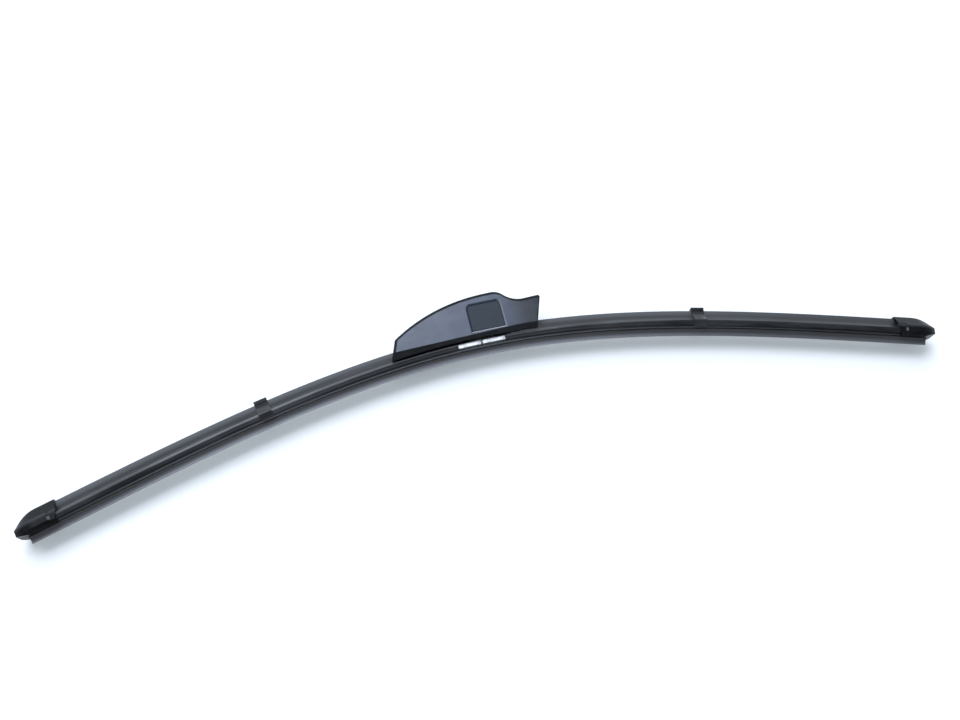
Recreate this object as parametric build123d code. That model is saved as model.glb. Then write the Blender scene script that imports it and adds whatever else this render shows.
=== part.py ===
from build123d import *
from math import atan2, cos, degrees, sin
import os

# Wiper blade of the flat, frameless kind, lying on its side. Millimetres.
# X runs along the blade, Y points away from the glass, Z goes across the blade.
# Every section is drawn in (across, height), with height 0 at the middle of the rails.

# Backbone, the bow of the unloaded rails
blade_length = 555.0          # nose to nose of the end caps, along the rails
middle_radius = 413.0         # radius of the bow at the middle
bow_fade = 1.38               # the bow flattens towards the ends with this power
arcs_per_half = 6             # tangent arcs that make up each half of the bow
straight_end = 37.5           # last stretch of each half, which is straight

# Spring rails
rail_width = 3.6
rail_thickness = 1.0
rail_gap = 3.0                # between the two rails
rail_end_inset = 7.0          # from the nose of the end cap to the end of the rail

# Wiping rubber
rubber_end_inset = 5.5        # from the nose of the end cap to the end of the rubber
head_width = 5.2
head_top = 1.45
shoulder_bottom = -2.0
neck_width = 1.3
lip_root_top = -2.6
lip_root_width = 4.4
lip_root_depth = 0.6
lip_tip_width = 0.8
lip_tip = -6.55
lip_hollow = 0.5              # how far each flank of the lip is hollowed

# Spoiler strips
ridge_height = 9.8
crown_width = 1.6
crown_rise = 0.6
flank_hollow = 0.9            # how far the wind face is hollowed
claw_wall = 1.15              # beside the rails, at the foot
claw_lean = 0.9               # how far the side leans in below the foot
claw_top = 1.2
claw_bottom = -1.3
foot_round = 0.4
head_room = 0.25              # space over the head of the rubber
spoiler_wall = 0.9
spoiler_gap = 0.4             # between each strip and the bracket
spoiler_notch = 22.0          # the right strip has no ridge up to here, to clear the adaptor

# Rail clips
clip_left = -133.4
clip_right = 131.3
clip_length = 7.6
clip_wall = 0.7
clip_mouth = 8.6
clip_block_width = 4.0        # thick block over the ridge
clip_block_rise = 1.6
clip_block_round = 0.4

# End caps
cap_length = 24.0
cap_proud = 0.8               # height of the cap's back over the spoiler
cap_wall = 0.95               # round the spoiler
cap_bottom = -3.05
cap_crease = 3.4              # edge between the upright band and the hood
cap_crown_width = 3.2
cap_mouth_lean = 2.2          # how far the mouth leans towards the nose below the crease
cap_back_flat = 10.0          # level stretch of the back
cap_toe_length = 1.7          # step in front of the hood
cap_toe_rise = 1.0
cap_nose_top = 3.4
cap_nose_bottom = -0.35
cap_nose_width = 7.0
cap_side_straight = 13.0
cap_keel_length = 16.8        # from the mouth to where the underside turns up
cap_keel_top = -0.9           # the sides lean in below here
cap_keel_width = 11.8         # at the bottom
cap_overlap = 6.5             # length of the spoiler inside the cap
cap_edge_round = 0.5
relief_length = 5.0           # stepped-back cheek beside the mouth
relief_depth = 0.5
relief_rise = 2.0             # how far its upper edge climbs to the mouth

# Base bracket
bracket_centre = -2.3
bracket_length = 28.4
sheet = 0.8
claw_slit = 0.8
ear_length = 15.0
ear_round = 4.4

# Pivot
pivot_height = 10.5
rivet_diameter = 4.0
rivet_head_diameter = 7.0
rivet_head_height = 0.5
rivet_head_chamfer = 0.25

# Hook adaptor
hook_width = 9.0
hook_radius = 3.8             # inside radius of the arm's hook
adaptor_tail = 19.0           # from the pivot to the end of the adaptor
latch_length = 11.0
latch_slot = 0.9
latch_thickness = 1.7
latch_catch = 1.2

# Connector cover
cover_wall = 1.5
crease_front = (-54.0, 2.75)  # straight edge between the side panel and the skirt
crease_rear = (33.0, 4.95)
skirt_bottom = 2.0
skirt_wall = 1.2
cover_front_foot = (-57.6, -5.0)
cover_shoulder = (-52.2, 10.5)
brow_middle = (-28.2, 22.7)
brow_end = (-5.0, 27.9)
hump_end = (10.0, 28.6)
dip_start = (16.6, 25.6)
tail_start = (28.2, 20.7)
tail_length = 10.6            # straight top of the tail
tail_foot = (29.8, -5.0)
shoulder_radius = 1.8
tail_tip_radius = 1.2
tail_taper_start = 14.6
tail_width = 18.8
roof_end = 15.4
cover_edge_radius = 1.0
round_share = 0.65            # most of the panel's overhang that this rounding may take
web_thickness = 1.5
front_web = -14.6
rear_web = 10.0
rear_web_height = 3.6

# Release buttons
window_left = -6.6
window_right = 13.6
window_bottom = 5.7
window_top = 22.7
window_radius = 2.5
window_rim = 0.8              # chamfer round the window
button_recess = 0.8
button_flange = 1.0
button_flange_thickness = 0.8
button_travel = 0.9
peg_diameter = 3.0
peg_x = 9.5
peg_y = 12.6

# Clearances
rail_play = 0.15
fold_play = 0.05
grip_play = 0.2               # between the rails and the sides of the bracket
claw_play = 0.35              # between the rubber and the claws of the spoiler
mouth_play = 0.8              # between the rubber and the claws of the bracket
sleeve_play = 0.15
clip_play = 0.08
pivot_play = 0.05
swing_play = 0.35
skirt_play = 0.3
button_play = 0.3
cover_play = 0.5

# Sizes that follow from these
half_length = blade_length / 2
half_rail = rail_thickness / 2
rail_outer = rail_gap / 2 + rail_width
foot_width = 2 * (rail_outer + rail_play + claw_wall)
claw_mouth = head_width + 2 * claw_play
cap_mouth = half_length - cap_length
cap_width = foot_width + 2 * (sleeve_play + cap_wall)
bracket_width = 2 * (rail_outer + grip_play + sheet)
bracket_mouth = head_width + 2 * mouth_play
bracket_front = bracket_centre - bracket_length / 2
bracket_rear = bracket_centre + bracket_length / 2
ear_inner = hook_width / 2 + swing_play
ear_outer = ear_inner + sheet
skirt_inner = max(bracket_width / 2 + skirt_play, foot_width / 2 + cover_play)
flange_inner = ear_outer + rivet_head_height + swing_play + button_travel
flange_outer = flange_inner + button_flange_thickness
inner_half = flange_outer + button_play
cover_width = 2 * (inner_half + cover_wall)
panel_overhang = cover_width / 2 - skirt_inner - skirt_wall
panel_round = min(cover_edge_radius, round_share * panel_overhang)

# Backbone
arc_length = (half_length - straight_end) / arcs_per_half
knots = [arc_length * index for index in range(arcs_per_half + 1)]


def turn(distance):
    """Angle in radians that the backbone has turned at a distance from the middle."""
    whole = half_length / middle_radius / (bow_fade + 1)
    return whole * (1 - (1 - distance / half_length) ** (bow_fade + 1))


def station(place):
    """Plane across the blade: its y points away from the glass and its z to the right end."""
    side = -1 if place < 0 else 1
    left = abs(place)
    x, y, angle = 0.0, 0.0, 0.0
    for start, end in zip(knots, knots[1:]):
        step = min(left, arc_length)
        half_turn = (turn(end) - turn(start)) * step / arc_length / 2
        chord = step * sin(half_turn) / half_turn if step else 0.0
        x += chord * cos(angle + half_turn)
        y -= chord * sin(angle + half_turn)
        angle += 2 * half_turn
        left -= step
    x += left * cos(angle)
    y -= left * sin(angle)
    heading = (cos(angle), -side * sin(angle), 0)
    return Plane(origin=(side * x, y, 0), x_dir=(0, 0, -1), z_dir=heading)


def path(start, end):
    """Stretch of the backbone as tangent arcs, with a straight run at each end of the blade."""
    inner = [sign * knot for knot in knots for sign in (-1, 1) if knot]
    stops = [start] + sorted(knot for knot in inner if start < knot < end) + [end]
    edges = []
    for near, far in zip(stops, stops[1:]):
        here, there = station(near), station(far)
        if min(abs(near), abs(far)) >= knots[-1]:
            edges.append(Line(here.origin, there.origin))
        else:
            edges.append(TangentArc(here.origin, there.origin, tangent=here.z_dir))
    return Wire([edge for line in edges for edge in line.edges()])


def along(section, start, end):
    """Section swept along the backbone from one station to another."""
    return sweep(station(start) * section, path=path(start, end))


def half_and_mirror(half):
    """Closed face from the right half of a symmetrical outline."""
    return make_face(half + mirror(half, Plane.YZ))


def band(width, bottom, top):
    """Rectangle across the blade between two heights."""
    return Pos(0, (bottom + top) / 2) * Rectangle(width, top - bottom)


# Spring rails: two flat strips of spring steel, side by side
rail_centre = (rail_gap + rail_width) / 2
rail_section = Rectangle(rail_width, rail_thickness)
rail_end = half_length - rail_end_inset
spring_rail_near = along(Pos(-rail_centre, 0) * rail_section, -rail_end, rail_end)
spring_rail_far = along(Pos(rail_centre, 0) * rail_section, -rail_end, rail_end)

# Wiping rubber: head, grooves for the rails, thin neck and lip, extruded in one
groove = half_rail + fold_play
web_width = rail_gap - 2 * rail_play
lip_shoulder = lip_root_top - lip_root_depth
rubber_upper = Polyline(
    (0, head_top),
    (head_width / 2, head_top),
    (head_width / 2, groove),
    (web_width / 2, groove),
    (web_width / 2, -groove),
    (head_width / 2, -groove),
    (head_width / 2, shoulder_bottom),
    (neck_width / 2, shoulder_bottom),
    (neck_width / 2, lip_root_top),
    (lip_root_width / 2, lip_root_top),
    (lip_root_width / 2, lip_shoulder),
)
lip_flank = SagittaArc((lip_root_width / 2, lip_shoulder), (lip_tip_width / 2, lip_tip), -lip_hollow)
lip_edge = Line((lip_tip_width / 2, lip_tip), (0, lip_tip))
rubber_section = half_and_mirror(rubber_upper + lip_flank + lip_edge)
rubber_end = half_length - rubber_end_inset
wiper_rubber = along(rubber_section, -rubber_end, rubber_end)

# Spoiler strips: hollow extrusions that clasp the rails
crown_edge = (crown_width / 2, ridge_height - crown_rise)
foot_edge = (foot_width / 2, claw_top)
crown = ThreePointArc((-crown_edge[0], crown_edge[1]), (0, ridge_height), crown_edge)
flank = SagittaArc(crown_edge, foot_edge, -flank_hollow)
claw = Polyline(foot_edge, (foot_width / 2 - claw_lean, claw_bottom), (0, claw_bottom))
spoiler_sharp = make_face(crown + flank + claw + mirror(flank + claw, Plane.YZ))
feet = spoiler_sharp.vertices().group_by(Axis.X)
spoiler_outline = fillet(feet[0] + feet[-1], foot_round)
pocket_top = head_top + head_room
rail_slot = band(2 * (rail_outer + rail_play), -half_rail - rail_play, half_rail + rail_play)
head_slot = band(head_width + 2 * head_room, 0, pocket_top)
mouth_slot = band(claw_mouth, claw_bottom, 0)
ridge_band = band(foot_width, pocket_top + spoiler_wall, ridge_height)
spoiler_core = offset(spoiler_sharp, -spoiler_wall, kind=Kind.INTERSECTION) & ridge_band
spoiler_section = spoiler_outline - rail_slot - head_slot - mouth_slot - spoiler_core
spoiler_end = cap_mouth + cap_overlap
spoiler_left_end = bracket_front - spoiler_gap
spoiler_right_end = bracket_rear + spoiler_gap
spoiler_left = along(spoiler_section, -spoiler_end, spoiler_left_end)
spoiler_right = along(spoiler_section, spoiler_right_end, spoiler_end)
spoiler_right -= along(ridge_band, spoiler_right_end, spoiler_notch)

# Rail clips: saddles that snap over the spoiler and under the rails
clip_inner = offset(spoiler_outline, clip_play)
clip_outer = offset(spoiler_outline, clip_play + clip_wall)
clip_opening = band(clip_mouth, claw_bottom - 2 * clip_wall, 0)
clip_block = band(clip_block_width, crown_edge[1], ridge_height + clip_block_rise)
clip_block = fillet(clip_block.vertices().group_by(Axis.Y)[-1], clip_block_round)
clip_section = clip_outer + clip_block - clip_inner - clip_opening
half_clip = clip_length / 2
rail_clip_left = along(clip_section, clip_left - half_clip, clip_left + half_clip)
rail_clip_right = along(clip_section, clip_right - half_clip, clip_right + half_clip)

# End caps: moulded noses pushed over the ends of the spoiler, rails and rubber
mouth_plane = station(cap_mouth)
side_plane = Plane(origin=mouth_plane.origin, x_dir=mouth_plane.z_dir, z_dir=(0, 0, 1))
plan_plane = Plane(origin=mouth_plane.origin, x_dir=mouth_plane.z_dir, z_dir=mouth_plane.y_dir)
cap_top = ridge_height + cap_proud
cap_toe = (cap_length - cap_toe_length, cap_nose_top + cap_toe_rise)
cap_side = make_face(
    Polyline((cap_mouth_lean, cap_bottom), (0, cap_crease), (0, cap_top), (cap_back_flat, cap_top))
    + TangentArc((cap_back_flat, cap_top), cap_toe, tangent=(1, 0))
    + Polyline(
        cap_toe,
        (cap_length, cap_nose_top),
        (cap_length, cap_nose_bottom),
        (cap_keel_length, cap_bottom),
        (cap_mouth_lean, cap_bottom),
    )
)
cap_nose = (cap_length, cap_nose_width / 2)
cap_plan_half = (
    Polyline((-cap_width, 0), (-cap_width, cap_width / 2), (cap_side_straight, cap_width / 2))
    + TangentArc((cap_side_straight, cap_width / 2), cap_nose, tangent=(1, 0))
    + Line(cap_nose, (cap_length, 0))
)
cap_plan = make_face(cap_plan_half + mirror(cap_plan_half, Plane.XZ))
hood_height = cap_top - cap_crease
hood_lean = degrees(atan2((cap_width - cap_crown_width) / 2, hood_height))
keel_height = cap_keel_top - cap_bottom
keel_lean = degrees(atan2((cap_width - cap_keel_width) / 2, keel_height))
cap_solid = extrude(plan_plane.offset(cap_keel_top) * cap_plan, cap_crease - cap_keel_top)
cap_solid += extrude(plan_plane.offset(cap_keel_top) * cap_plan, -keel_height, taper=keel_lean)
cap_solid += extrude(plan_plane.offset(cap_crease) * cap_plan, hood_height, taper=hood_lean)
cap_solid &= extrude(side_plane * cap_side, cap_width, both=True)


def on_hood(edge):
    """True for the lengthwise edges of the hood and the edges round the nose."""
    ends = [mouth_plane.to_local_coords(edge @ end) for end in (0, 1)]
    near, far = sorted(end.Z for end in ends)
    lengthwise = far - near > cap_edge_round
    above_keel = min(end.Y for end in ends) > cap_nose_bottom
    return (lengthwise and above_keel) or near > cap_length - cap_edge_round


cap_solid = fillet(cap_solid.edges().filter_by(on_hood), cap_edge_round)
relief_points = (
    (0, 2 * cap_bottom),
    (relief_length, 2 * cap_bottom),
    (relief_length, cap_crease),
    (0, cap_crease + relief_rise),
)
relief_outline = make_face(Polyline(*relief_points, close=True))
relief = extrude(side_plane.offset(cap_width / 2 - relief_depth) * relief_outline, cap_width)
cap_solid -= relief + mirror(relief, Plane.XY)
sleeve = extrude(mouth_plane * offset(spoiler_outline, sleeve_play), cap_overlap + sleeve_play)
rail_pocket_length = cap_length - rail_end_inset + rail_play
rail_pocket = extrude(mouth_plane * rail_slot, rail_pocket_length)
rubber_slot = band(head_width + 2 * rail_play, cap_bottom, pocket_top)
rubber_pocket_length = cap_length - rubber_end_inset + rail_play
rubber_pocket = extrude(mouth_plane * rubber_slot, rubber_pocket_length)
end_cap_right = cap_solid - sleeve - rail_pocket - rubber_pocket
end_cap_left = mirror(end_cap_right, Plane.YZ)

# Base bracket: pressed sheet steel that grips the rails and carries the pivot
plate_bottom = half_rail + fold_play
plate_top = plate_bottom + sheet
hat_top = head_top + head_room + sheet
hat_width = head_width + 2 * head_room + 2 * sheet
bracket_section = (
    band(bracket_width, -plate_top, plate_top)
    + band(hat_width, 0, hat_top)
    - band(bracket_width - 2 * sheet, -plate_bottom, plate_bottom)
    - band(hat_width - 2 * sheet, 0, hat_top - sheet)
    - band(bracket_mouth, -plate_top, 0)
)
base_bracket = along(bracket_section, bracket_front, bracket_rear)
slit = Box(claw_slit, plate_top + plate_bottom, bracket_width)
slit_height = (plate_bottom - plate_top) / 2
base_bracket -= Pos(bracket_centre, slit_height - fold_play, 0) * slit
pivot = (bracket_centre, pivot_height)
ear_outline = make_hull(
    (Pos(*pivot) * Circle(ear_round)).edges()
    + (Pos(bracket_centre, plate_top) * Rectangle(ear_length, sheet)).edges()
)
ear_outline -= Pos(*pivot) * Circle(rivet_diameter / 2 + fold_play / 2)
ear = Pos(0, 0, ear_inner) * extrude(ear_outline, sheet)
base_bracket += ear + mirror(ear, Plane.XY)

# Pivot rivet: headed on both sides, tight in the bracket's ears
rivet_head = extrude(Circle(rivet_head_diameter / 2), rivet_head_height)
rivet_head = chamfer(rivet_head.edges().sort_by(Axis.Z)[-1], rivet_head_chamfer)
rivet_head = Pos(0, 0, ear_outer) * rivet_head
rivet_shank = extrude(Circle(rivet_diameter / 2), ear_outer, both=True)
pivot_rivet = Pos(*pivot) * (rivet_shank + rivet_head + mirror(rivet_head, Plane.XY))

# Hook adaptor: moulded block that the arm's hook wraps round, free to rock on the rivet
adaptor_bar = Pos(adaptor_tail / 2, 0) * Rectangle(adaptor_tail, 2 * hook_radius)
adaptor_outline = Circle(hook_radius) + adaptor_bar
slot_y = latch_thickness + latch_slot / 2 - hook_radius
slot_x = adaptor_tail - latch_length / 2
adaptor_outline -= Pos(slot_x, slot_y) * Rectangle(latch_length, latch_slot)
catch_points = (
    (adaptor_tail, -hook_radius),
    (adaptor_tail - 3 * latch_catch, -hook_radius),
    (adaptor_tail - 2 * latch_catch, -hook_radius - latch_catch),
)
adaptor_outline += make_face(Polyline(*catch_points, close=True))
adaptor_outline -= Circle(rivet_diameter / 2 + pivot_play)
hook_adaptor = Pos(*pivot) * extrude(adaptor_outline, hook_width / 2, both=True)

# Connector cover: moulded fin with a window in each side, an open tail and an open underside
brow = ThreePointArc(cover_shoulder, brow_middle, brow_end)
hump = TangentArc(brow_end, hump_end, tangent=brow % 1)
fall = TangentArc(hump_end, dip_start, tangent=hump % 1)
dip = TangentArc(dip_start, tail_start, tangent=fall % 1)
tail = PolarLine(tail_start, tail_length, direction=dip % 1)
tail_tip = (tail @ 1).X, (tail @ 1).Y
cover_outline = make_face(
    Line(cover_front_foot, cover_shoulder)
    + brow
    + hump
    + fall
    + dip
    + tail
    + Polyline(tail_tip, tail_foot, cover_front_foot)
)
corners = cover_outline.vertices()
cover_outline = fillet(corners.sort_by_distance(cover_shoulder)[0], shoulder_radius)
corners = cover_outline.vertices()
cover_outline = fillet(corners.sort_by_distance(tail_tip)[0], tail_tip_radius)
cover_reach = 2 * hump_end[1]
cover_span = (cover_front_foot[0] - cover_wall, tail_tip[0] + cover_wall)
crease_run = Vector(*crease_rear) - Vector(*crease_front)
crease_plane = Plane(origin=crease_front, x_dir=(0, 0, -1), z_dir=crease_run)
skirt_drop = crease_front[1] - station(cover_front_foot[0]).origin.Y - skirt_bottom


def cover_body(outline, half_width, skirt_half_width):
    """Extruded outline that tapers in below the crease, with its underside along the backbone."""
    half = Polyline(
        (0, -skirt_drop),
        (skirt_half_width, -skirt_drop),
        (half_width, 0),
        (half_width, cover_reach),
        (0, cover_reach),
    )
    flared = extrude(crease_plane * half_and_mirror(half), cover_span[1] - cover_span[0], both=True)
    above_skirt = along(band(2 * half_width, skirt_bottom, cover_reach), *cover_span)
    return extrude(outline, half_width, both=True) & flared & above_skirt


cover_shell = cover_body(cover_outline, cover_width / 2, skirt_inner + skirt_wall)
taper_start = (tail_taper_start, cover_width / 2)
taper_end = (tail_tip[0] + tail_tip_radius, tail_width / 2)
taper_outer = Polyline(taper_end, (taper_end[0], cover_width), (tail_taper_start, cover_width), taper_start)
taper_face = make_face(TangentArc(taper_start, taper_end, tangent=(1, 0)) + taper_outer)
tail_cut = extrude(Plane.XZ * taper_face, cover_reach, both=True)
cover_shell -= tail_cut + mirror(tail_cut, Plane.XY)


def round_panel(edge):
    """True for the edges of a side panel, but not for its crease or the start of the taper."""
    middle = edge.center()
    on_side = abs(middle.Z) > tail_width / 2 - panel_round
    at_taper = abs(middle.X - tail_taper_start) < fold_play
    return on_side and middle.Y > crease_rear[1] and not at_taper


cover_shell = fillet(cover_shell.edges().filter_by(round_panel), panel_round)

cover_inside = offset(cover_outline, -cover_wall, kind=Kind.INTERSECTION)
open_tail = Rectangle(cover_reach, 2 * cover_reach, align=(Align.MIN, Align.CENTER))
cover_inside += Pos(roof_end, 0) * open_tail
cover_core = cover_body(cover_inside, inner_half, skirt_inner)
cover_core -= Pos(0, 0, -cover_wall) * tail_cut + Pos(0, 0, cover_wall) * mirror(tail_cut, Plane.XY)
arch = along(offset(spoiler_outline, cover_play), cover_span[0], spoiler_left_end)

window_width = window_right - window_left
window_height = window_top - window_bottom
window_place = Pos((window_left + window_right) / 2, (window_bottom + window_top) / 2)


def pad(margin):
    """Window outline grown by a margin, with its two upper corners rounded."""
    outline = Rectangle(window_width + 2 * margin, window_height + 2 * margin)
    upper = outline.vertices().group_by(Axis.Y)[-1]
    return window_place * fillet(upper, window_radius + margin)


rim = Pos(0, 0, cover_width / 2 - window_rim) * extrude(pad(0), 2 * window_rim, taper=-45)
windows = extrude(pad(0), cover_width, both=True) + rim + mirror(rim, Plane.XY)
connector_cover = cover_shell - cover_core - arch - windows

hat_gap = band(hat_width + 2 * fold_play, 0, hat_top + fold_play)
half_web = web_thickness / 2
front_outline = band(2 * inner_half, plate_top, cover_reach) - hat_gap
front_rib = along(front_outline, front_web - half_web, front_web + half_web) & cover_core
rear_outline = band(2 * inner_half, plate_top, rear_web_height) - hat_gap
rear_rib = along(rear_outline, rear_web - half_web, rear_web + half_web) & cover_core
connector_cover += front_rib + rear_rib

# Release buttons: pads in the windows, held in by a flange behind the wall
pad_outer = cover_width / 2 - button_recess
button_pad = Pos(0, 0, flange_outer) * extrude(pad(-button_play), pad_outer - flange_outer)
button_back = Pos(0, 0, flange_inner) * extrude(pad(button_flange), button_flange_thickness)
below_window = Pos(window_left - window_width, window_bottom + button_play) * Rectangle(
    3 * window_width, window_height, align=(Align.MIN, Align.MAX)
)
button_back -= extrude(below_window, cover_width)
peg_tip = hook_width / 2 + button_play + button_travel
peg = Pos(peg_x, peg_y, peg_tip) * extrude(Circle(peg_diameter / 2), flange_inner - peg_tip)
release_button_near = button_pad + button_back + peg
release_button_far = mirror(release_button_near, Plane.XY)

nodes = {
    "wiper_rubber": wiper_rubber,
    "spring_rail_near": spring_rail_near,
    "spring_rail_far": spring_rail_far,
    "spoiler_left": spoiler_left,
    "spoiler_right": spoiler_right,
    "rail_clip_left": rail_clip_left,
    "rail_clip_right": rail_clip_right,
    "end_cap_left": end_cap_left,
    "end_cap_right": end_cap_right,
    "base_bracket": base_bracket,
    "pivot_rivet": pivot_rivet,
    "hook_adaptor": hook_adaptor,
    "connector_cover": connector_cover,
    "release_button_near": release_button_near,
    "release_button_far": release_button_far,
}

# The blade lies on its side, with the origin under the centre of its outline
box = Compound(list(nodes.values())).bounding_box()
to_floor = Pos(-box.center().X, -box.center().Y, -box.min.Z)
os.makedirs("parts", exist_ok=True)
for name, solid in nodes.items():
    export_step(to_floor * solid, f"parts/{name}.step")
print("moved by", to_floor.position, "pivot", to_floor.position + Vector(*pivot, 0))
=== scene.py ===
import math

import bpy
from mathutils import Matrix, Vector


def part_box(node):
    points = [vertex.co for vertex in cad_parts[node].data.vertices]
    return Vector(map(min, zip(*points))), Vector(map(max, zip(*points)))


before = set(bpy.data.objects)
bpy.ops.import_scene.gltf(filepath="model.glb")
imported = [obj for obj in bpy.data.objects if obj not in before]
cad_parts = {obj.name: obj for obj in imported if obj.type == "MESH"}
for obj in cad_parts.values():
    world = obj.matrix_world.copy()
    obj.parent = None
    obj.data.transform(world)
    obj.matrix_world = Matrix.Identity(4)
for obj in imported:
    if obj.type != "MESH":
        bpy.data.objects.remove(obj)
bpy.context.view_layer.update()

# Spring rails
# Two flat strips of spring steel, rolled, cut to length and set to the bow of the blade.
# They are dip-coated black and lie in the grooves of the rubber, so little of them shows.


def place(tree, kind, inputs=None, **settings):
    """Adds a shader node, sets its properties, and fills or links its inputs."""
    node = tree.nodes.new(kind)
    for key, value in settings.items():
        setattr(node, key, value)
    for key, value in (inputs or {}).items():
        if isinstance(value, bpy.types.NodeSocket):
            tree.links.new(value, node.inputs[key])
        else:
            node.inputs[key].default_value = value
    return node


def maths(tree, operation, first, *others):
    """Result of arithmetic nodes that take in one value after another."""
    result = first
    for other in others or (0.0,):
        result = place(tree, "ShaderNodeMath", {0: result, 1: other}, operation=operation).outputs[0]
    return result


def ranged(tree, value, low, high, start=0.0, end=1.0):
    """Value carried smoothly from one range to another, and held at its ends."""
    inputs = {"Value": value, "From Min": low, "From Max": high, "To Min": start, "To Max": end}
    node = place(tree, "ShaderNodeMapRange", inputs, interpolation_type="SMOOTHSTEP")
    return node.outputs["Result"]


def point_on(tree):
    """Place of a point of the surface, in metres."""
    return tree.nodes.new("ShaderNodeTexCoord").outputs["Object"]


def noise(tree, vector, scale=1.0, detail=3.0, roughness=0.55, distortion=0.0):
    """Soft random values, with a number of features per unit of the vector."""
    inputs = {"Vector": vector, "Scale": scale, "Detail": detail, "Roughness": roughness}
    return place(tree, "ShaderNodeTexNoise", {**inputs, "Distortion": distortion}).outputs["Fac"]


def blend(tree, amount, first, second):
    """Colour between two colours."""
    def as_colour(value):
        return value if isinstance(value, bpy.types.NodeSocket) else (*value, 1)
    inputs = {0: amount, 6: as_colour(first), 7: as_colour(second)}
    return place(tree, "ShaderNodeMix", inputs, data_type="RGBA").outputs[2]


def new_group(name, inputs, outputs):
    """Empty shader group with float inputs and typed outputs, and its two ends."""
    tree = bpy.data.node_groups.new(name, "ShaderNodeTree")
    for label, value in inputs.items():
        socket = tree.interface.new_socket(label, in_out="INPUT", socket_type="NodeSocketFloat")
        socket.default_value = value
    for label, kind in outputs.items():
        tree.interface.new_socket(label, in_out="OUTPUT", socket_type=f"NodeSocket{kind}")
    ends = tree.nodes.new("NodeGroupInput").outputs, tree.nodes.new("NodeGroupOutput").inputs
    return tree, *ends


def use(tree, group, inputs=None):
    """Outputs of a group placed in a material."""
    return place(tree, "ShaderNodeGroup", inputs, node_tree=group).outputs


def new_material(name, colour, roughness, metallic=0.0):
    """Material with one Principled shader at its plain values, its node tree and that shader."""
    material = bpy.data.materials.new(name)
    material.use_nodes = True
    tree = material.node_tree
    tree.nodes.clear()
    inputs = {"Base Color": (*colour, 1), "Roughness": roughness, "Metallic": metallic}
    shader = place(tree, "ShaderNodeBsdfPrincipled", inputs)
    place(tree, "ShaderNodeOutputMaterial", {"Surface": shader.outputs[0]})
    return material, tree, shader


def feed(tree, shader, **values):
    """Links values to the shader's inputs, with underscores for the spaces in their names."""
    for key, value in values.items():
        tree.links.new(value, shader.inputs[key.replace("_", " ")])


def emboss(tree, height, depth, normal):
    """Normal roughened by a height of 0 to 1 that stands for a depth in metres."""
    inputs = {"Height": height, "Distance": depth, "Strength": 1.0, "Normal": normal}
    return place(tree, "ShaderNodeBump", inputs).outputs[0]


def paint(material, *names):
    """Gives a material to CAD nodes."""
    for name in names:
        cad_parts[name].data.materials.clear()
        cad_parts[name].data.materials.append(material)


# Rounded look of an edge that is sharp in the mesh, and a mask of where such edges are
edge_turn = (0.995, 0.9)           # cosine of the rounding's turn, from no edge to a full one
soft_edges, given, made = new_group(
    "soft_edges", {"Radius": 0.0002}, {"Normal": "Vector", "Edge": "Float"}
)
eased = place(soft_edges, "ShaderNodeBevel", {"Radius": given["Radius"]}, samples=4).outputs[0]
plain = soft_edges.nodes.new("ShaderNodeNewGeometry").outputs["Normal"]
turned = place(soft_edges, "ShaderNodeVectorMath", {0: eased, 1: plain}, operation="DOT_PRODUCT")
soft_edges.links.new(eased, made["Normal"])
soft_edges.links.new(ranged(soft_edges, turned.outputs["Value"], *edge_turn), made["Edge"])

# Marks of handling: fine scratches in two directions, and specks of dust
scratch_turns = (0.5, -0.35)       # radians, one for each direction
scratch_tilt = (0.2, 0.1)
scratch_grain = (45, 2600, 900)    # a grain is a number of features per metre
scratch_cut = (0.66, 0.74)         # a cut is the values between which a mark begins to show
handled_grain = 70.0
handled_cut = (0.45, 0.65)
speck_grain = 700.0
speck_cut = (0.11, 0.05)
dusty_grain = 260.0
dusty_cut = (0.55, 0.62)
light_scuffs, given, made = new_group(
    "light_scuffs", {"Amount": 0.5}, {"Scuff": "Float", "Dust": "Float"}
)
point = point_on(light_scuffs)
scratches = []
for turn in scratch_turns:
    stretch = {"Vector": point, "Rotation": (*scratch_tilt, turn), "Scale": scratch_grain}
    stretched = place(light_scuffs, "ShaderNodeMapping", stretch).outputs[0]
    scratches.append(ranged(light_scuffs, noise(light_scuffs, stretched, detail=2.0), *scratch_cut))
scratched = maths(light_scuffs, "MAXIMUM", *scratches)
handled = ranged(light_scuffs, noise(light_scuffs, point, handled_grain), *handled_cut)
scuff = maths(light_scuffs, "MULTIPLY", scratched, handled, given["Amount"])
cells = place(light_scuffs, "ShaderNodeTexVoronoi", {"Vector": point, "Scale": speck_grain}).outputs
speck = ranged(light_scuffs, cells["Distance"], *speck_cut)
dusty = ranged(light_scuffs, noise(light_scuffs, point, dusty_grain), *dusty_cut)
dust = maths(light_scuffs, "MULTIPLY", speck, dusty, given["Amount"])
light_scuffs.links.new(scuff, made["Scuff"])
light_scuffs.links.new(dust, made["Dust"])

rail_black = (0.022, 0.023, 0.025)
bare_steel = (0.36, 0.37, 0.39)
bare_cut = (0.0, 0.4)              # scuffs take the coating off an edge
bare_share = (0.15, 1.0)
coat_grain = 900.0
coat_cut = (0.3, 0.7)
coat_roughness = (0.32, 0.48)
coat_depth = 0.000006
rails, tree, shader = new_material("coated_spring_steel", rail_black, roughness=0.4)
edges = use(tree, soft_edges, {"Radius": 0.00012})
marks = use(tree, light_scuffs, {"Amount": 0.8})
scuffed = ranged(tree, marks["Scuff"], *bare_cut, *bare_share)
bare = maths(tree, "MULTIPLY", edges["Edge"], scuffed)
coat_wave = noise(tree, point_on(tree), coat_grain, detail=2.0)
feed(
    tree, shader,
    Base_Color=blend(tree, bare, rail_black, bare_steel),
    Metallic=bare,
    Roughness=ranged(tree, coat_wave, *coat_cut, *coat_roughness),
    Normal=emboss(tree, coat_wave, coat_depth, edges["Normal"]),
)
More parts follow.
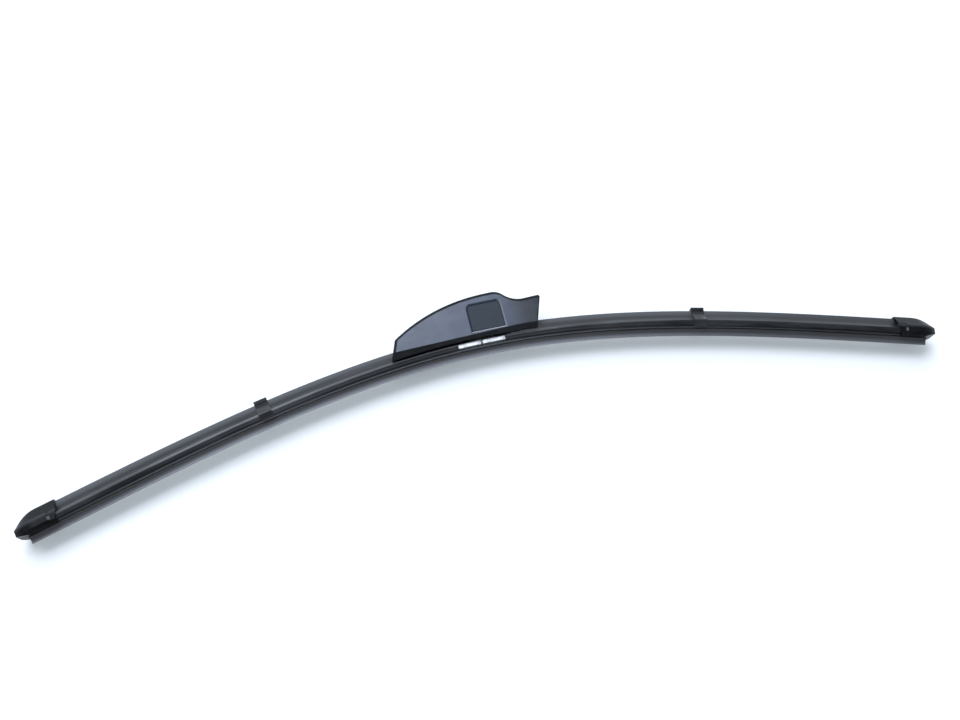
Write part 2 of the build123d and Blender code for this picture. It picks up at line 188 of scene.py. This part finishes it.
paint(rails, "spring_rail_near", "spring_rail_far")

# Wiping rubber
# One long extrusion of black rubber, with a groove for each rail in its head, a thin neck and the lip.
# The lip is graphite grey and paler towards its edge, partly graphite and partly a painted highlight over
# its shade; painted shade darkens the grey towards both ends, more to the right, and a painted highlight
# lightens the shoulder under the claws.
bow_top = 0.0152228
bow_square = 1.1691                # the backbone is y = top - square * x^2 + cube * |x|^3, in metres
bow_cube = 1.5921
arc_gain = 1.0058                  # distance along the backbone is x * (gain + cube * x^2)
arc_cube = 0.262
side_height = 0.010                # height of the blade's middle plane over the floor

# Place on the blade: distance along the bow, height from the rails and place across
along_blade, given, made = new_group(
    "along_blade", {}, {"Along": "Float", "Height": "Float", "Across": "Float"}
)
tree = along_blade
x, y, z = place(tree, "ShaderNodeSeparateXYZ", {0: point_on(tree)}).outputs
span = maths(tree, "ABSOLUTE", x)
fall = maths(tree, "SUBTRACT", bow_square, maths(tree, "MULTIPLY", span, bow_cube))
backbone = maths(tree, "SUBTRACT", bow_top, maths(tree, "MULTIPLY", x, x, fall))
bend = maths(tree, "SUBTRACT", maths(tree, "MULTIPLY", span, 3 * bow_cube), 2 * bow_square)
slope = maths(tree, "MULTIPLY", x, bend)
steep = maths(tree, "ADD", maths(tree, "MULTIPLY", slope, slope), 1.0)
upright = maths(tree, "INVERSE_SQRT", steep)
height = maths(tree, "MULTIPLY", maths(tree, "SUBTRACT", y, backbone), upright)
foot = maths(tree, "ADD", x, maths(tree, "MULTIPLY", height, slope, upright))
curl = maths(tree, "MULTIPLY", foot, foot, arc_cube)
reach = maths(tree, "MULTIPLY", foot, maths(tree, "ADD", curl, arc_gain))
across = maths(tree, "SUBTRACT", z, side_height)
tree.links.new(reach, made["Along"])
tree.links.new(height, made["Height"])
tree.links.new(across, made["Across"])


def drawn_out(tree, spot, along_grain, cross_grain):
    """Place on the blade, stretched for marks that run its length."""
    run = maths(tree, "MULTIPLY", spot["Along"], along_grain)
    up = maths(tree, "MULTIPLY", spot["Height"], cross_grain)
    over = maths(tree, "MULTIPLY", spot["Across"], cross_grain)
    return place(tree, "ShaderNodeCombineXYZ", {0: run, 1: up, 2: over}).outputs[0]


# Marks of the extrusion die: fine lines that run the whole length, and soft patches of bloom
line_grain = 7.0
patch_grain = 22.0
patch_cross_grain = 140.0
patch_cut = (0.35, 0.7)
die_lines, given, made = new_group(
    "die_lines", {"Fineness": 2500.0}, {"Lines": "Float", "Patches": "Float"}
)
spot = use(die_lines, along_blade)
lines = noise(die_lines, drawn_out(die_lines, spot, line_grain, given["Fineness"]), detail=2.0)
patches = drawn_out(die_lines, spot, patch_grain, patch_cross_grain)
patches = ranged(die_lines, noise(die_lines, patches, detail=5.0, roughness=0.6), *patch_cut)
die_lines.links.new(lines, made["Lines"])
die_lines.links.new(patches, made["Patches"])

rubber_black = (0.026, 0.026, 0.029)
graphite_and_highlight_grey = (0.375, 0.392, 0.435)
lip_greyed = (-0.0030, -0.0066)    # the lip turns grey between these heights, with graphite and a painted highlight towards its edge
lip_line_cut = (0.25, 0.75)
lip_line_share = (0.6, 1.0)
shoulder_top = -0.0009             # a painted highlight lightens the shoulder under the claws, where it lies in their shade
shoulder_edge = -0.0021
shoulder_full = 0.0004             # it is thickest from this far over the shoulder's edge down to the edge
shoulder_fade = 0.0002
shaded_left = (-0.27, -0.17)         # places along the blade between which painted shade darkens the grey
shaded_right = (0.19, -0.03)
shaded_left_share = (0.5, 1.0)
shaded_right_share = (0.3, 1.0)
bloom_share = 0.05
speck_share = 0.3
line_dullness = 0.2
rubber_cut = (0.0, 1.1)
rubber_roughness = (0.5, 0.3)      # of the head and of the lip's edge
rubber_line_depth = 0.00001
rubber, tree, shader = new_material("wiping_rubber", rubber_black, roughness=0.5)
spot = use(tree, along_blade)
die = use(tree, die_lines, {"Fineness": 3200.0})
marks = use(tree, light_scuffs, {"Amount": 0.5})
edges = use(tree, soft_edges, {"Radius": 0.00015})
lip_lines = ranged(tree, die["Lines"], *lip_line_cut, *lip_line_share)
dusted_and_lit = maths(tree, "MULTIPLY", ranged(tree, spot["Height"], *lip_greyed), lip_lines)
shoulder_highlight = maths(
    tree, "MULTIPLY",
    ranged(tree, spot["Height"], shoulder_top, shoulder_edge + shoulder_full),
    ranged(tree, spot["Height"], shoulder_edge - shoulder_fade, shoulder_edge),
)
grey = maths(
    tree, "MULTIPLY",
    maths(tree, "MAXIMUM", dusted_and_lit, shoulder_highlight),
    ranged(tree, spot["Along"], *shaded_left, *shaded_left_share),
    ranged(tree, spot["Along"], *shaded_right, *shaded_right_share),
)
bloom = maths(tree, "MULTIPLY", die["Patches"], bloom_share)
specks = maths(tree, "MULTIPLY", marks["Dust"], speck_share)
grey = maths(tree, "MAXIMUM", grey, bloom, specks)
smoothed = maths(tree, "ADD", dusted_and_lit, maths(tree, "MULTIPLY", die["Lines"], line_dullness))
feed(
    tree, shader,
    Base_Color=blend(tree, grey, rubber_black, graphite_and_highlight_grey),
    Roughness=ranged(tree, smoothed, *rubber_cut, *rubber_roughness),
    Normal=emboss(tree, die["Lines"], rubber_line_depth, edges["Normal"]),
)
paint(rubber, "wiper_rubber")

# Base bracket and pivot rivet
# A blank of zinc-plated sheet steel, pressed and folded round the rails, and a headed pin across its ears.
# The sheet is streaked by the rolling mill, and it is rubbed bright at its edges and in patches.
zinc_dull = (0.21, 0.212, 0.217)
zinc_bright = (0.64, 0.65, 0.66)
rolled_grain = (120, 2200, 2200)
flower_grain = 420.0               # of the crystals of the zinc
rubbed_grain = 150.0
rubbed_cut = (0.38, 0.62)
streak_share = 0.5
rubbed_share = 0.5
bright_edge_share = 0.9
zinc_cut = (0.0, 1.6)
zinc_roughness = (0.30, 0.46)
zinc_depth = 0.000008
zinc, tree, shader = new_material("zinc_plate", zinc_dull, roughness=0.36, metallic=1.0)
point = point_on(tree)
edges = use(tree, soft_edges, {"Radius": 0.00018})
marks = use(tree, light_scuffs, {"Amount": 1.0})
rolled = place(tree, "ShaderNodeMapping", {"Vector": point, "Scale": rolled_grain}).outputs[0]
streaks = noise(tree, rolled, detail=4.0, roughness=0.65)
flowers = place(tree, "ShaderNodeTexVoronoi", {"Vector": point, "Scale": flower_grain}).outputs["Color"]
flower = place(tree, "ShaderNodeSeparateColor", {0: flowers}).outputs[0]
rubbed = ranged(tree, noise(tree, point, rubbed_grain), *rubbed_cut)
shine = maths(
    tree, "ADD",
    maths(tree, "MULTIPLY", streaks, streak_share),
    maths(tree, "MULTIPLY", rubbed, rubbed_share),
)
shine = maths(tree, "MAXIMUM", shine, maths(tree, "MULTIPLY", edges["Edge"], bright_edge_share))
dulled = maths(tree, "ADD", flower, marks["Scuff"])
relief = maths(tree, "SUBTRACT", streaks, marks["Scuff"])
feed(
    tree, shader,
    Base_Color=blend(tree, shine, zinc_dull, zinc_bright),
    Roughness=ranged(tree, dulled, *zinc_cut, *zinc_roughness),
    Normal=emboss(tree, relief, zinc_depth, edges["Normal"]),
)
paint(zinc, "base_bracket", "pivot_rivet")

# Hook adaptor
# A block moulded in dark grey acetal with a snap latch, free to rock on the rivet.
# The arm's hook slides over it, so it is satin and more scuffed than the other mouldings.

# Surface of a mould: fine spark-eroded grain, and the soft mottle that the flowing plastic leaves
mottle_grain = (60, 110, 110)
mottle_cut = (0.32, 0.68)
mould_grain, given, made = new_group(
    "mould_grain", {"Size": 4200.0}, {"Grain": "Float", "Mottle": "Float"}
)
point = point_on(mould_grain)
grain = noise(mould_grain, point, given["Size"], detail=2.0, roughness=0.6)
wandering = place(mould_grain, "ShaderNodeMapping", {"Vector": point, "Scale": mottle_grain}).outputs[0]
mottle = noise(mould_grain, wandering, detail=5.0, roughness=0.6, distortion=0.8)
mould_grain.links.new(grain, made["Grain"])
mould_grain.links.new(ranged(mould_grain, mottle, *mottle_cut), made["Mottle"])

mottle_pallor = 0.35               # how far each of these takes a moulding to its paler colour
wear_pallor = 0.6
dull_share = 0.5                   # of the grain and of the mottle in the dullness
dull_cut = (0.1, 1.1)
scuff_depth = 0.6                  # as a share of the grain's depth


def moulded(name, dark, pale, smooth, coarse, grain_size, grain_depth, edge_radius, scuffing):
    """Moulded plastic: mottled colour, grained surface, rubbed edges, light scuffs and dust."""
    material, tree, shader = new_material(name, dark, smooth)
    grain = use(tree, mould_grain, {"Size": grain_size})
    marks = use(tree, light_scuffs, {"Amount": scuffing})
    edges = use(tree, soft_edges, {"Radius": edge_radius})
    worn = maths(tree, "MULTIPLY", edges["Edge"], grain["Mottle"])
    worn = maths(tree, "MULTIPLY", maths(tree, "ADD", worn, marks["Dust"]), wear_pallor)
    pallor = maths(tree, "MULTIPLY", grain["Mottle"], mottle_pallor)
    pallor = maths(tree, "ADD", pallor, marks["Scuff"], worn)
    dull = maths(tree, "MULTIPLY", maths(tree, "ADD", grain["Grain"], grain["Mottle"]), dull_share)
    dull = maths(tree, "ADD", dull, marks["Scuff"])
    relief = maths(tree, "SUBTRACT", grain["Grain"], maths(tree, "MULTIPLY", marks["Scuff"], scuff_depth))
    feed(
        tree, shader,
        Base_Color=blend(tree, maths(tree, "MINIMUM", pallor, 1.0), dark, pale),
        Roughness=ranged(tree, dull, *dull_cut, smooth, coarse),
        Normal=emboss(tree, relief, grain_depth, edges["Normal"]),
    )
    return material, tree, shader


adaptor, tree, shader = moulded(
    "adaptor_acetal", dark=(0.026, 0.027, 0.029), pale=(0.060, 0.061, 0.064),
    smooth=0.34, coarse=0.5, grain_size=3600.0, grain_depth=0.000010, edge_radius=0.00025, scuffing=0.9,
)
paint(adaptor, "hook_adaptor")

# Spoiler strips
# Two hollow extrusions of black weatherproof rubber that clasp the rails on each side of the connector.
# They leave the die with fine lines along them, and storage and wiping leave them greyer in places; the
# paler crown, the grey foot and the grey line on the claws are painted sheen and painted highlights.
strip_black = (0.010, 0.011, 0.0125)
strip_bloom_and_sheen = (0.091, 0.095, 0.103)
bloom_line_cut = (0.3, 0.7)
bloom_line_share = (0.2, 0.6)
crown_sheen_heights = (0.0036, 0.0090)     # painted sheen makes the crown paler between these heights, and less so to the right
crown_sheen_along = (0.08, 0.25)
crown_sheen_share = (1.0, 0.5)
claw_highlight_grey = (0.058, 0.061, 0.066)
claw_line = -0.0007                # a painted highlight line runs along the claws here, in the middle of the blade, lightening their shade
claw_line_fade = (0.0006, 0.00015)
claw_left = (-0.24, -0.12)
claw_right = (0.12, 0.03)
claw_line_cut = (0.3, 0.7)
claw_line_share = (0.6, 1.0)
foot_highlight_grey = (0.155, 0.162, 0.175)
foot_low = 0.0001                  # a painted highlight greys the rounded foot of the flank between these heights
foot_high = 0.0021
foot_fade = 0.0005
foot_left = (-0.27, -0.18)         # and most of all in the left half, between these places
foot_right = (0.13, -0.02)
foot_left_share = (0.4, 1.0)
foot_right_share = (0.05, 1.0)
foot_patch_cut = (0.0, 0.6)
foot_patch_share = (0.6, 1.0)
strip_cut = (0.3, 1.3)
strip_roughness = (0.36, 0.50)
strip_line_depth = 0.000012
spoiler, tree, shader = new_material("spoiler_rubber", strip_black, roughness=0.45)
shader.inputs["Specular IOR Level"].default_value = 0.21
die = use(tree, die_lines, {"Fineness": 2300.0})
marks = use(tree, light_scuffs, {"Amount": 0.5})
edges = use(tree, soft_edges, {"Radius": 0.0002})
spot = use(tree, along_blade)
bloom_lines = ranged(tree, die["Lines"], *bloom_line_cut, *bloom_line_share)
bloom = maths(tree, "MULTIPLY", die["Patches"], bloom_lines)
crown_sheen = maths(
    tree, "MULTIPLY",
    ranged(tree, spot["Height"], *crown_sheen_heights),
    ranged(tree, spot["Along"], *crown_sheen_along, *crown_sheen_share),
)
# the bloom mask here also carries the painted sheen of the crown
bloom = maths(tree, "MAXIMUM", bloom, marks["Dust"], marks["Scuff"], crown_sheen)
from_line = maths(tree, "ABSOLUTE", maths(tree, "SUBTRACT", spot["Height"], claw_line))
claw_highlight = maths(
    tree, "MULTIPLY",
    ranged(tree, from_line, *claw_line_fade),
    ranged(tree, spot["Along"], *claw_left),
    ranged(tree, spot["Along"], *claw_right),
    ranged(tree, die["Lines"], *claw_line_cut, *claw_line_share),
)
# mask of the painted highlight on the rounded foot
rubbed = maths(
    tree, "MULTIPLY",
    ranged(tree, spot["Height"], foot_low, foot_low + foot_fade),
    ranged(tree, spot["Height"], foot_high, foot_high - foot_fade),
    ranged(tree, spot["Along"], *foot_left, *foot_left_share),
    ranged(tree, spot["Along"], *foot_right, *foot_right_share),
    ranged(tree, die["Patches"], *foot_patch_cut, *foot_patch_share),
)
colour = blend(tree, claw_highlight, blend(tree, bloom, strip_black, strip_bloom_and_sheen), claw_highlight_grey)
dulled = maths(tree, "ADD", die["Lines"], bloom)
feed(
    tree, shader,
    Base_Color=blend(tree, rubbed, colour, foot_highlight_grey),
    Roughness=ranged(tree, dulled, *strip_cut, *strip_roughness),
    Normal=emboss(tree, die["Lines"], strip_line_depth, edges["Normal"]),
)
paint(spoiler, "spoiler_left", "spoiler_right")

# Rail clips
# Narrow saddles moulded in black acetal, snapped over the spoiler and under the rails.
# The block on the ridge is matt, and the thin flanks come polished from the mould.
flank_polished = (0.0074, 0.0058)  # the polish begins between these heights, under the block
polish_mottle = (0.0, 1.0)
flank_polish = (0.5, 0.7)
clip, tree, shader = moulded(
    "clip_acetal", dark=(0.014, 0.0145, 0.016), pale=(0.036, 0.037, 0.040),
    smooth=0.34, coarse=0.46, grain_size=4200.0, grain_depth=0.000006, edge_radius=0.0002, scuffing=0.6,
)
shader.inputs["Specular IOR Level"].default_value = 0.12
shader.inputs["Coat Roughness"].default_value = 0.38
spot = use(tree, along_blade)
grain = use(tree, mould_grain, {"Size": 2000.0})
polish = maths(
    tree, "MULTIPLY",
    ranged(tree, spot["Height"], *flank_polished),
    ranged(tree, grain["Mottle"], *polish_mottle, *flank_polish),
)
feed(tree, shader, Coat_Weight=polish)
paint(clip, "rail_clip_left", "rail_clip_right")

# End caps
# Noses moulded in black nylon, pushed over the ends of the spoiler, the rails and the rubber.
# Their hoods are glossy, the band below is painted grey under the crease as a painted highlight, and a pale
# spot on the band is a painted highlight.
crease_highlight_grey = (0.056, 0.059, 0.064)
band_share = 0.85
band_low = 0.0012                  # the band turns grey between these heights, up to its edge, as a painted highlight under the crease
band_full = 0.0034
band_edge = 0.0037
highlight_spot_pale = (0.130, 0.136, 0.145)
highlight_spot_place = 0.2585                # the painted highlight spot sits here, measured along the blade
highlight_spot_fade = (0.0009, 0.0003)
highlight_spot_low = (-0.0012, -0.0003)      # heights between which the painted spot comes in, and goes out again
highlight_spot_high = (0.0016, 0.0007)
cap, tree, shader = moulded(
    "cap_nylon", dark=(0.0050, 0.0054, 0.0060), pale=(0.024, 0.025, 0.027),
    smooth=0.20, coarse=0.34, grain_size=4000.0, grain_depth=0.000005, edge_radius=0.0003, scuffing=0.4,
)
shader.inputs["Specular IOR Level"].default_value = 0.06
spot = use(tree, along_blade)
# mask of the painted highlight under the crease
rubbed = maths(
    tree, "MULTIPLY",
    ranged(tree, spot["Height"], band_low, band_full),
    maths(tree, "LESS_THAN", spot["Height"], band_edge),
    band_share,
)
from_highlight_spot = maths(tree, "SUBTRACT", maths(tree, "ABSOLUTE", spot["Along"]), highlight_spot_place)
highlight_spot = maths(
    tree, "MULTIPLY",
    ranged(tree, maths(tree, "ABSOLUTE", from_highlight_spot), *highlight_spot_fade),
    ranged(tree, spot["Height"], *highlight_spot_low),
    ranged(tree, spot["Height"], *highlight_spot_high),
)
base = shader.inputs["Base Color"].links[0].from_socket
colour = blend(tree, rubbed, base, crease_highlight_grey)
feed(tree, shader, Base_Color=blend(tree, highlight_spot, colour, highlight_spot_pale))
paint(cap, "end_cap_left", "end_cap_right")

# Release buttons
# Pads moulded in matt black plastic with a fine grain, set back in the windows of the cover.
# Each has a flange behind the wall and a peg that lifts the adaptor's latch.
button, tree, shader = moulded(
    "button_plastic", dark=(0.021, 0.031, 0.045), pale=(0.050, 0.063, 0.082),
    smooth=0.52, coarse=0.68, grain_size=3200.0, grain_depth=0.000022, edge_radius=0.00025, scuffing=0.5,
)
shader.inputs["Specular IOR Level"].default_value = 0.3
paint(button, "release_button_near", "release_button_far")

# Connector cover
# A fin moulded in one piece in dark satin plastic and clipped over the bracket.
# The flat of each side is finely polished and given a paler blue-grey as a painted sheen of the softbox;
# the rounded rim and the skirt are left black and matt, and the rim's black stands for a painted dark
# reflection.
skirt_black = (0.0155, 0.0165, 0.0185)
panel_sheen_blue_grey = (0.036, 0.054, 0.098)
tail_weaker_sheen_grey = (0.034, 0.040, 0.050)
tail_faded = (0.012, 0.030)        # the painted sheen fades to a duller grey between these places along the blade
flat_cut = (0.955, 0.99)           # how squarely the flat of the side faces outwards
cover, tree, shader = moulded(
    "cover_plastic", dark=skirt_black, pale=(0.036, 0.038, 0.042),
    smooth=0.34, coarse=0.46, grain_size=4200.0, grain_depth=0.000008, edge_radius=0.0002, scuffing=0.6,
)
shader.inputs["Specular IOR Level"].default_value = 0.04
shader.inputs["Coat Roughness"].default_value = 0.24
surface = tree.nodes.new("ShaderNodeTexCoord").outputs
lengthways, rising, sideways = place(tree, "ShaderNodeSeparateXYZ", {0: surface["Normal"]}).outputs
x, y, z = place(tree, "ShaderNodeSeparateXYZ", {0: surface["Object"]}).outputs
side = maths(tree, "SIGN", maths(tree, "SUBTRACT", z, side_height))
outwards = maths(tree, "MULTIPLY", sideways, side)
flat_with_sheen = ranged(tree, outwards, *flat_cut)

# The chamfer round each window has the panel's coat and painted sheen, a painted highlight on its sill, and
# a painted lit side on its upright edge that leans left
sill_highlight_grey = (0.390, 0.400, 0.415)
sill_rise = 0.4                    # the least that the sill's normal leans upwards
lit_reveal_grey = (0.190, 0.200, 0.220)
reveal_cut = (-0.15, -0.6)         # how far the upright edge's normal leans to the left
chamfer_beside = 0.0004            # reach of the chamfer past the pad
chamfer_above = 0.0014
chamfer_outwards = 0.5
pad_low, pad_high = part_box("release_button_near")
window_middle = (pad_low + pad_high) / 2
window_half = (pad_high - pad_low) / 2
beside = maths(tree, "ABSOLUTE", maths(tree, "SUBTRACT", x, window_middle.x))
above = maths(tree, "ABSOLUTE", maths(tree, "SUBTRACT", y, window_middle.y))
chamfer = maths(
    tree, "MULTIPLY",
    maths(tree, "LESS_THAN", beside, window_half.x + chamfer_beside),
    maths(tree, "LESS_THAN", above, window_half.y + chamfer_above),
    maths(tree, "GREATER_THAN", outwards, chamfer_outwards),
)
sill_highlight = maths(tree, "MULTIPLY", chamfer, maths(tree, "GREATER_THAN", rising, sill_rise))
lit_reveal = maths(tree, "MULTIPLY", chamfer, ranged(tree, lengthways, *reveal_cut))

# The rim is what lies within its width of the outline, which is read from the mesh and kept as a curve; it
# is left without the painted sheen, as a painted dark reflection
rim_width = 0.0017                 # with the rounding of the edge
rim_fade = 0.0004
outline_steps = 96
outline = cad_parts["connector_cover"].data
fin_low, fin_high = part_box("connector_cover")
fin_size = fin_high - fin_low


def outline_top(along):
    """Highest point of the cover's mesh at a place along the blade."""
    tops = [fin_low.y]
    for edge in outline.edges:
        first, second = (outline.vertices[index].co for index in edge.vertices)
        if min(first.x, second.x) <= along < max(first.x, second.x):
            share = (along - first.x) / (second.x - first.x)
            tops.append(first.y + share * (second.y - first.y))
    return max(tops)


steps = [step / outline_steps for step in range(outline_steps + 1)]
tops = [(outline_top(fin_low.x + step * fin_size.x) - fin_low.y) / fin_size.y for step in steps]
limit = fin_high.y
for shift, drop in ((0, rim_width), (rim_width, 0), (-rim_width, 0)):
    station = maths(tree, "DIVIDE", maths(tree, "ADD", x, shift - fin_low.x), fin_size.x)
    top = place(tree, "ShaderNodeFloatCurve", {"Value": station})
    curve = top.mapping.curves[0]
    curve.points[0].location = (steps[0], tops[0])
    curve.points[1].location = (steps[-1], tops[-1])
    for location in zip(steps[1:-1], tops[1:-1]):
        curve.points.new(*location)
    for knot in curve.points:
        knot.handle_type = "VECTOR"
    top.mapping.update()
    top = maths(tree, "ADD", maths(tree, "MULTIPLY", top.outputs[0], fin_size.y), fin_low.y - drop)
    limit = maths(tree, "MINIMUM", limit, top)
inner = ranged(tree, maths(tree, "SUBTRACT", limit, y), 0.0, rim_fade)
flat_with_sheen = maths(tree, "MAXIMUM", maths(tree, "MULTIPLY", flat_with_sheen, inner), chamfer)

panel_polish = (0.84, 1.0)
grain = use(tree, mould_grain, {"Size": 1500.0})
polish = maths(tree, "MULTIPLY", flat_with_sheen, ranged(tree, grain["Mottle"], *polish_mottle, *panel_polish))
base = shader.inputs["Base Color"].links[0].from_socket
# painted sheen on the panel, weaker towards the tail
panel_sheen = blend(tree, ranged(tree, x, *tail_faded), panel_sheen_blue_grey, tail_weaker_sheen_grey)
colour = blend(tree, lit_reveal, blend(tree, polish, base, panel_sheen), lit_reveal_grey)
feed(
    tree, shader,
    Base_Color=blend(tree, sill_highlight, colour, sill_highlight_grey),
    Coat_Weight=polish,
)
paint(cover, "connector_cover")

# Studio
# A white table, a large softbox behind the blade and a little to its left, and a low strip light behind it.
# The room's white walls show near the horizon, and its ceiling is dim and bluish.
floor_size = 40.0
paper_white = (0.91, 0.91, 0.91)
paper_glow = (0.80, 0.92, 1.0)
glow_reach = (0.6, 2.0)            # past the lamps' reach the paper glows as white as the room
glow_strength = (0.23, 1.0)
bpy.ops.mesh.primitive_plane_add(size=floor_size)
floor = bpy.context.object
floor.name = "floor"
paper = bpy.data.materials.new("white_paper")
paper.use_nodes = True
tree = paper.node_tree
tree.nodes.clear()
light_path = tree.nodes.new("ShaderNodeLightPath").outputs
seen = maths(
    tree, "MAXIMUM",
    light_path["Is Camera Ray"], light_path["Is Glossy Ray"], light_path["Is Transmission Ray"],
)
floor_point = tree.nodes.new("ShaderNodeNewGeometry").outputs["Position"]
distance = place(tree, "ShaderNodeVectorMath", {0: floor_point}, operation="LENGTH").outputs["Value"]
lift = maths(tree, "MULTIPLY", seen, ranged(tree, distance, *glow_reach, *glow_strength))
diffuse = place(tree, "ShaderNodeBsdfDiffuse", {"Color": (*paper_white, 1)})
glow = place(tree, "ShaderNodeEmission", {"Color": (*paper_glow, 1), "Strength": lift})
both = place(tree, "ShaderNodeAddShader", {0: diffuse.outputs[0], 1: glow.outputs[0]})
place(tree, "ShaderNodeOutputMaterial", {"Surface": both.outputs[0]})
floor.data.materials.append(paper)

lamp_target = Vector((0, 0.02, 0))


def softbox(name, location, width, height, radiance, colour):
    """Rectangular lamp turned towards the blade, with the brightness of its face."""
    lamp = bpy.data.lights.new(name, "AREA")
    lamp.shape = "RECTANGLE"
    lamp.size = width
    lamp.size_y = height
    lamp.energy = radiance * math.pi * width * height
    lamp.color = colour
    holder = bpy.data.objects.new(name, lamp)
    holder.location = location
    holder.rotation_euler = (lamp_target - Vector(location)).to_track_quat("-Z", "Y").to_euler()
    holder.visible_camera = False
    bpy.context.scene.collection.objects.link(holder)


softbox("key", (-0.95, 2.2, 3.7), width=3.4, height=2.6, radiance=5.9, colour=(0.92, 0.98, 1.08))
softbox("back", (0.40, 3.56, 2.59), width=5.0, height=1.25, radiance=2.4, colour=(0.93, 0.98, 1.06))

wall_white = (1.0, 1.0, 1.0)
ceiling_grey = (0.26, 0.29, 0.33)
ceiling_rise = (0.12, 0.5)         # sine of the height at which the walls pass into the ceiling
world = bpy.data.worlds.new("room")
bpy.context.scene.world = world
world.use_nodes = True
tree = world.node_tree
direction = tree.nodes.new("ShaderNodeTexCoord").outputs["Generated"]
rise = place(tree, "ShaderNodeSeparateXYZ", {0: direction}).outputs[2]
room = blend(tree, ranged(tree, rise, *ceiling_rise), wall_white, ceiling_grey)
tree.links.new(room, tree.nodes["Background"].inputs["Color"])

# Camera
# Looks down on the side of the blade, from the lip's side and a little to the left.
camera_place = (-0.0840, -0.18405, 0.5271)
camera_angles = (21.471, -3.380, -13.951)
camera_data = bpy.data.cameras.new("camera")
camera_data.sensor_width = 36.0
camera_data.lens = 35.325
camera = bpy.data.objects.new("camera", camera_data)
camera.location = camera_place
camera.rotation_euler = [math.radians(angle) for angle in camera_angles]
bpy.context.scene.collection.objects.link(camera)
bpy.context.scene.camera = camera
bpy.context.scene.view_settings.view_transform = "Standard"
